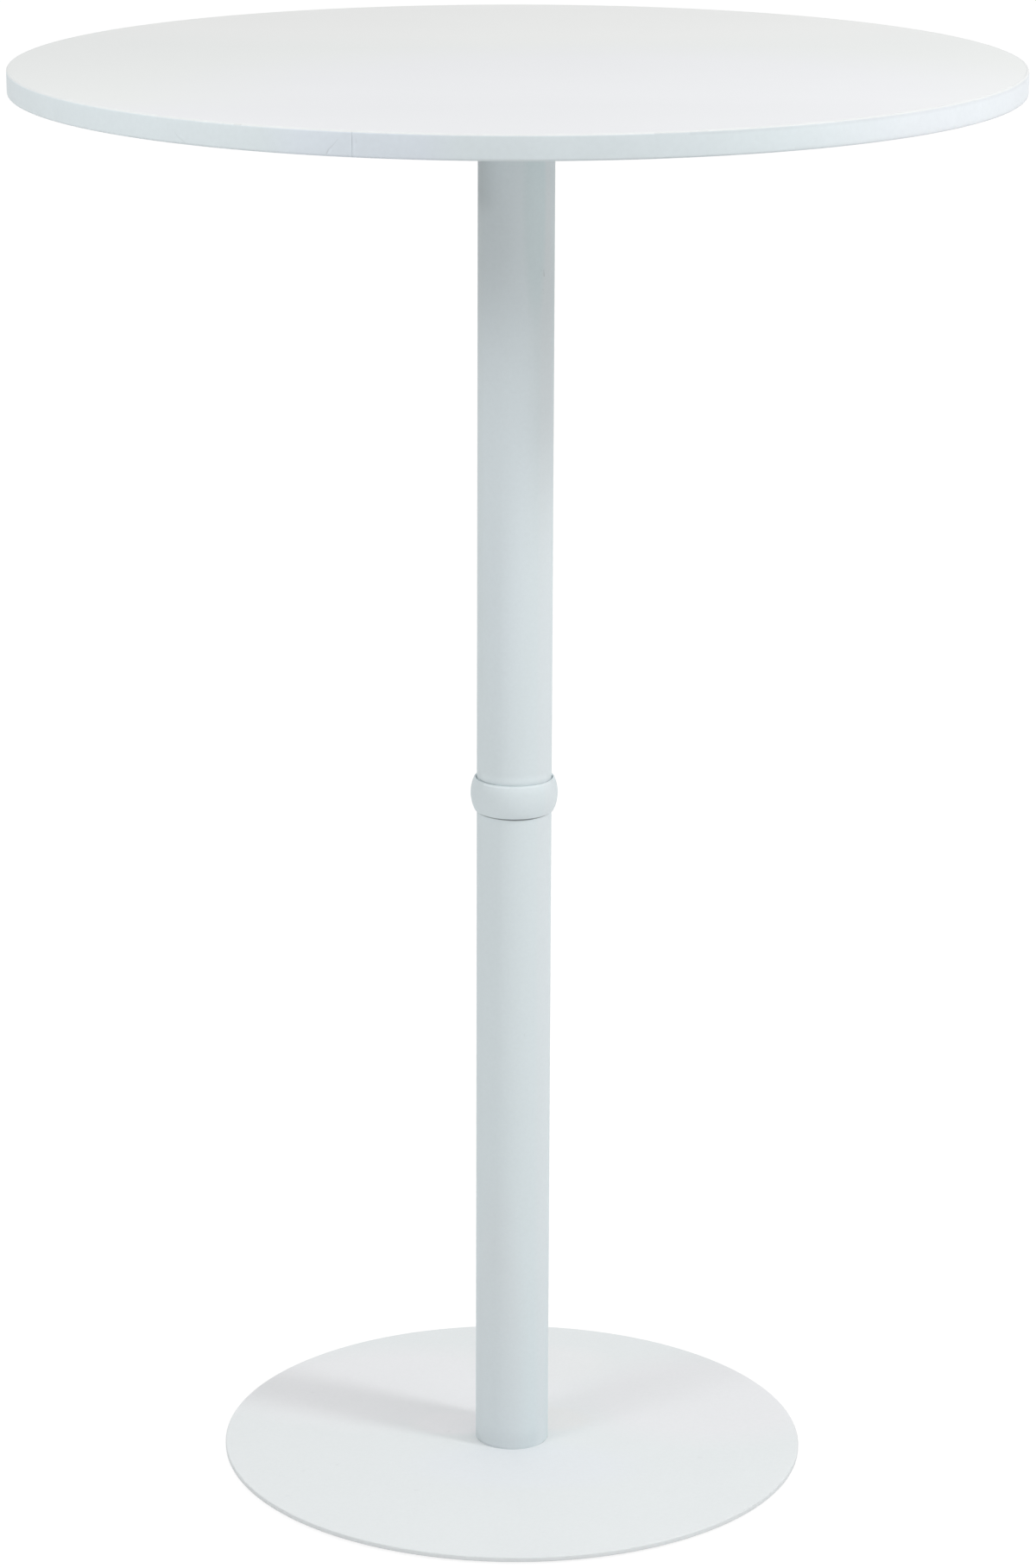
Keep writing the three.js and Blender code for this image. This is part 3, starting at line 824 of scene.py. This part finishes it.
def add_laminate(material):
    rings = revolve(disc_profile(sheet_radius(), *levels_of("tabletop_laminate")), TOP_SEGMENTS)
    add_piece("laminate_top", skin(rings), material, "laminate", "tabletop_laminate")


def add_backing(material):
    bottom, top = levels_of("tabletop_backing")
    sheet = skin(revolve(disc_profile(sheet_radius(), bottom, top), TOP_SEGMENTS))
    drills = [drill(node, bottom - OVERRUN, top + OVERRUN) for node in arm_screws]
    add_piece("backing_sheet", carved(sheet, drills), material, "laminate", "tabletop_backing")


def band_section(radius, bottom, top, inset):
    """The outline of the band's cross-section, drawn in by an inset."""
    inner = radius - BAND_THICKNESS + inset
    low = bottom + inset
    high = top - inset
    turn = BAND_ROUNDING - inset
    bend = radius - inset - turn
    between = (inner + bend) / 2
    return [
        (inner, high),
        (inner, low),
        (between, low),
        *arc((bend, low + turn), turn, -90, 0, BAND_ARC_STEPS),
        *arc((bend, high - turn), turn, 0, 90, BAND_ARC_STEPS),
        (between, high),
    ]


def add_band(material):
    """The edge band, bent round the top from one side of its seam to the other."""
    radius = radius_of("tabletop_edge_band")
    bottom, top = levels_of("tabletop_edge_band")
    half_seam = math.degrees(BAND_SEAM_WIDTH / 2 / radius)
    ease = math.degrees(BAND_END_EASE / radius)
    first = BAND_SEAM_ANGLE + half_seam
    last = BAND_SEAM_ANGLE + 360 - half_seam
    stops = [(first, BAND_END_EASE), (first + ease, 0), (first + 2 * ease, 0)]
    stops += [(first + (last - first) * i / TOP_SEGMENTS, 0) for i in range(1, TOP_SEGMENTS)]
    stops += [(last - 2 * ease, 0), (last - ease, 0), (last, BAND_END_EASE)]
    rings = []
    for azimuth, inset in stops:
        c, s = math.cos(math.radians(azimuth)), math.sin(math.radians(azimuth))
        section = band_section(radius, bottom, top, inset)
        rings.append([(reach * c, reach * s, level) for reach, level in section])
    add_piece("edge_band", skin(rings), material, "band", "tabletop_edge_band")


# The column


def add_tube(name, node, material):
    """A tube with its ends eased, open at both ends."""
    radius = radius_of(node)
    bottom, top = levels_of(node)
    bore = radius - TUBE_WALL
    ease = TUBE_END_EASE
    low = bottom + ease
    high = top - ease
    outside = [(radius, low + (high - low) * i / TUBE_RINGS) for i in range(TUBE_RINGS + 1)]
    profile = [(bore, low), (bore + ease, bottom), (radius - ease, bottom), *outside]
    profile += [(radius - ease, top), (bore + ease, top), (bore, high)]
    add_piece(name, skin(revolve(profile, TUBE_SEGMENTS), closed=True), material, "paint", node)


def collar_lip(centre, barrel, height):
    """The centre of the rounding at an end of the barrel, and the angle where it meets the barrel."""
    rise = height - COLLAR_ROUNDING
    inner = barrel - COLLAR_ROUNDING
    reach = centre + math.sqrt(inner ** 2 - rise ** 2)
    return {"reach": reach, "rise": rise, "sweep": math.degrees(math.asin(rise / inner))}


def add_collar(material):
    """The barrel collar: a bulge with rounded ends, a socket for each tube and the web between them."""
    bottom, top = levels_of("collar")
    radius = radius_of("collar")
    middle = (bottom + top) / 2
    half = (top - bottom) / 2
    barrel = (half ** 2 + COLLAR_BULGE ** 2) / (2 * COLLAR_BULGE)
    socket = radius_of("upper_tube") + COLLAR_GAP
    lower = collar_lip(radius - barrel, barrel, half)
    upper = collar_lip(radius - barrel, barrel, half - COLLAR_TRIM)
    barrel_centre = (radius - barrel, middle)
    lower_centre = (lower["reach"], middle - lower["rise"])
    upper_centre = (upper["reach"], middle + upper["rise"])
    web_bottom = middle - COLLAR_WEB / 2
    web_top = middle + COLLAR_WEB / 2
    profile = [
        (STUD_BORE, web_bottom),
        (socket, web_bottom),
        (socket, bottom + COLLAR_EASE),
        *arc(lower_centre, COLLAR_ROUNDING, -COLLAR_LIP_TURN, -lower["sweep"], COLLAR_LIP_STEPS),
        *arc(barrel_centre, barrel, -lower["sweep"], upper["sweep"], COLLAR_BARREL_STEPS)[1:-1],
        *arc(upper_centre, COLLAR_ROUNDING, upper["sweep"], COLLAR_LIP_TURN, COLLAR_LIP_STEPS),
        (socket, top - COLLAR_TRIM - COLLAR_EASE),
        (socket, web_top),
        (STUD_BORE, web_top),
    ]
    rings = revolve(profile, TUBE_SEGMENTS)
    add_piece("barrel_collar", skin(rings, closed=True), material, "paint", "collar")


# The base


def countersink(face, toward, centre, clearance, length):
    """A countersunk hole, open past its face. Toward is 1 where it runs upwards and -1 downwards."""
    head = SCREW_HEAD_RADIUS + clearance
    shank = SCREW_RADIUS + clearance
    profile = [
        (head, face - toward * OVERRUN),
        (head, face),
        (shank, face + toward * (head - shank)),
        (shank, face + toward * length),
    ]
    return skin(revolve(profile, SCREW_SEGMENTS, centre))


def add_base_plate(material):
    radius = radius_of("base_plate")
    bottom, top = levels_of("base_plate")
    turn = PLATE_ROUNDING
    profile = [
        (radius - turn - EDGE_RING, bottom),
        *arc((radius - turn, bottom + turn), turn, -90, 0, PLATE_ARC_STEPS),
        *arc((radius - turn, top - turn), turn, 0, 90, PLATE_ARC_STEPS),
        (radius - turn - EDGE_RING, top),
    ]
    length = top - bottom + OVERRUN
    holes = [countersink(bottom, 1, centre_of(node), SCREW_GAP, length) for node in base_screws]
    plate = carved(skin(revolve(profile, PLATE_SEGMENTS)), holes)
    add_piece("base_disc", plate, material, "paint", "base_plate")


def hexagon(flats):
    """The reach of a hexagon at an angle, from its width across the flats."""
    sixth = math.pi / 3
    return lambda angle: flats / 2 / math.cos(angle % sixth - sixth / 2)


def cross(reach, half_width):
    """The reach of a cross at an angle, from the length and half width of its arms."""

    def at(angle):
        c, s = abs(math.cos(angle)), abs(math.sin(angle))
        lying = min(reach / max(c, LEAST_DIVISOR), half_width / max(s, LEAST_DIVISOR))
        standing = min(half_width / max(c, LEAST_DIVISOR), reach / max(s, LEAST_DIVISOR))
        return max(lying, standing)

    return at


def add_base_screws(material):
    """Countersunk screws with a hexagon socket, seen from below."""
    for i, node in enumerate(base_screws):
        face, tip = levels_of(node)
        place = centre_of(node)
        cone = SCREW_HEAD_RADIUS - SCREW_RADIUS
        steps = [
            (hexagon(SOCKET_FLATS), face + SOCKET_DEPTH),
            (hexagon(SOCKET_FLATS), face + SCREW_EASE),
            (hexagon(SOCKET_FLATS + 2 * SCREW_EASE), face),
            (SCREW_HEAD_RADIUS - SCREW_EASE, face),
            (SCREW_HEAD_RADIUS, face + SCREW_EASE),
            (SCREW_RADIUS, face + cone + SCREW_EASE),
            (SCREW_RADIUS, tip - SCREW_TIP),
            (SCREW_RADIUS - SCREW_TIP, tip),
        ]
        rings = [ring(reach, level, SCREW_SEGMENTS, place) for reach, level in steps]
        add_piece(f"base_fixing_{i + 1}", skin(rings), material, "zinc", node)


def add_pads(material):
    """Round rubber pads with two grooves underneath."""
    for i, node in enumerate(floor_pads):
        bottom, top = levels_of(node)
        low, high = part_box(node)
        radius = (high.x - low.x) / 2
        roof = bottom + PAD_GROOVE_DEPTH
        profile = []
        for groove in PAD_GROOVE_RADII:
            inner = groove - PAD_GROOVE_WIDTH / 2
            outer = groove + PAD_GROOVE_WIDTH / 2
            profile += [(inner, bottom), (inner + PAD_GROOVE_SLOPE, roof)]
            profile += [(outer - PAD_GROOVE_SLOPE, roof), (outer, bottom)]
        profile += arc((radius - PAD_EASE, bottom + PAD_EASE), PAD_EASE, -90, 0, PAD_ARC_STEPS)
        profile += [(radius, top)]
        rings = revolve(profile, PAD_SEGMENTS, centre_of(node))
        add_piece(f"rubber_foot_{i + 1}", skin(rings), material, "rubber", node)


# The support under the top


def support_outline(inset):
    """Outline of the four-arm support, drawn in by an inset: tapered arms with round tips and corners."""
    slope = math.atan2((ARM_ROOT_WIDTH - ARM_TIP_WIDTH) / 2, ARM_LENGTH)
    side = ARM_ROOT_WIDTH / 2 * math.cos(slope)
    tip_x = ARM_LENGTH - ARM_TIP_RADIUS
    tip_y = (side - ARM_TIP_RADIUS - math.sin(slope) * tip_x) / math.cos(slope)
    corner = (side + ARM_CORNER_RADIUS) / (math.sin(slope) + math.cos(slope))
    tilt = math.degrees(slope)
    quarter_outline = [
        *arc((tip_x, -tip_y), ARM_TIP_RADIUS - inset, tilt - 90, 0, SUPPORT_TIP_STEPS),
        *arc((tip_x, tip_y), ARM_TIP_RADIUS - inset, 0, 90 - tilt, SUPPORT_TIP_STEPS),
        *arc((corner, corner), ARM_CORNER_RADIUS + inset, 270 - tilt, 180 + tilt, SUPPORT_CORNER_STEPS),
    ]
    outline = []
    for arm in range(ARM_COUNT):
        turn = ARM_TURN + arm * 2 * math.pi / ARM_COUNT
        c, s = math.cos(turn), math.sin(turn)
        outline += [(x * c - y * s, x * s + y * c) for x, y in quarter_outline]
    return outline


def layer(inset, level):
    return [(x, y, level) for x, y in support_outline(inset)]


def folded_wall(inset, radius, foot, crown):
    """The layers of a wall round the support that rises from its foot and folds in at its crown."""
    layers = [layer(inset, foot)]
    for i in range(FOLD_STEPS + 1):
        angle = math.pi / 2 * i / FOLD_STEPS
        drawn_in = radius * (1 - math.cos(angle))
        below = radius * (1 - math.sin(angle))
        layers.append(layer(inset + drawn_in, crown - below))
    return layers


def add_support(material):
    """The pressed support: a shallow channel whose folded edge gets lower towards the tips."""
    bottom, top = levels_of("top_support")
    deep = bottom - 2 * OVERRUN
    outside = folded_wall(0, FOLD_RADIUS, deep + OVERRUN, top)
    inside = folded_wall(SHEET_THICKNESS, INNER_FOLD_RADIUS, deep, top - SHEET_THICKNESS)
    reach = ARM_LENGTH + OVERRUN
    taper = [
        (reach, deep - OVERRUN),
        (reach, top - TIP_DEPTH),
        (ARM_LENGTH, top - TIP_DEPTH),
        (HUB_RADIUS, top - HUB_DEPTH),
    ]
    length = SHEET_THICKNESS + OVERRUN
    cutters = [skin(inside), skin(revolve(taper, PLATE_SEGMENTS))]
    cutters += [countersink(top, -1, centre_of(node), SCREW_GAP, length) for node in support_screws]
    cutters += [drill(node, top - HUB_DEPTH, top + OVERRUN) for node in arm_screws]
    add_piece("support_pressing", carved(skin(outside), cutters), material, "paint", "top_support")


def add_arm_screws(material):
    """Pan-head wood screws with a cross recess, their points in the board."""
    for i, node in enumerate(arm_screws):
        low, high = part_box(node)
        place = centre_of(node)
        face = low.z
        seat = face + PAN_HEAD_HEIGHT
        head = (high.x - low.x) / 2
        bottom = cross(CROSS_REACH * CROSS_BOTTOM_SHARE, CROSS_HALF_WIDTH * CROSS_BOTTOM_SHARE)
        dome = []
        for step in range(HEAD_STEPS + 1):
            angle = math.pi / 2 * step / HEAD_STEPS
            reach = PAN_HEAD_FLAT + (head - PAN_HEAD_FLAT) * math.sin(angle)
            dome.append((reach, seat - PAN_HEAD_HEIGHT * math.cos(angle)))
        steps = [
            (bottom, face + CROSS_DEPTH),
            (cross(CROSS_REACH, CROSS_HALF_WIDTH), face),
            *dome,
            (WOOD_SCREW_RADIUS, seat),
            (WOOD_SCREW_RADIUS, high.z - WOOD_SCREW_TIP),
            (WOOD_SCREW_POINT_RADIUS, high.z),
        ]
        rings = [ring(reach, level, SCREW_SEGMENTS, place) for reach, level in steps]
        add_piece(f"arm_screw_{i + 1}", skin(rings), material, "zinc", node)


def finish_carried_nodes(materials):
    """Gives each CAD node that stays the material of its kind."""
    joining = ["lower_join_disc", "lower_join_nut", "upper_join_disc", "upper_join_nut"]
    carried = {
        "board": ["tabletop_core"],
        "steel": ["foot_disc", *joining, "head_disc"],
        "zinc": ["join_stud", *support_screws],
    }
    for name, nodes in carried.items():
        for node in nodes:
            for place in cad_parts[node].material_slots:
                place.material = materials[name]


bpy.context.scene.view_settings.view_transform = "Standard"

add_camera()
for name, box in SOFT_BOXES.items():
    add_soft_box(name, box)
add_sky()
add_floor()

materials = {"board": board_material(), "steel": steel_material(), "zinc": zinc_material()}
tube_radius = radius_of("upper_tube")
paint = paint_material("paint")
add_laminate(laminate_material("laminate", LAMINATE_COLOUR, TOP_PAINTED_LIGHT))
add_backing(laminate_material("backing", BACKING_COLOUR))
add_band(band_material())
add_support(paint)
add_arm_screws(materials["zinc"])
upper_paint = paint_material("upper_paint", PAINT_COLOUR, UPPER_MARKS_AND_PAINTED_LIGHT, UPPER_PAINTED_LIGHT, tube_radius)
lower_paint = paint_material("lower_paint", PAINT_COLOUR, LOWER_MARKS_AND_PAINTED_SHADE, LOWER_PAINTED_LIGHT, tube_radius)
add_tube("upper_column", "upper_tube", upper_paint)
add_tube("lower_column", "lower_tube", lower_paint)
add_collar(paint_material("collar_paint", PAINT_COLOUR, COLLAR_PAINTED_HIGHLIGHTS, COLUMN_PAINTED_LIGHT, radius_of("collar")))
# The base plate's coat is a lit copy of the column's paint
add_base_plate(paint_material("plate_lit_paint", PLATE_LIT_PAINT_COLOUR, PLATE_SPECKS_AND_PAINTED_LIGHT, PLATE_PAINTED_LIGHT))
add_base_screws(materials["zinc"])
add_pads(rubber_material())
finish_carried_nodes(materials)
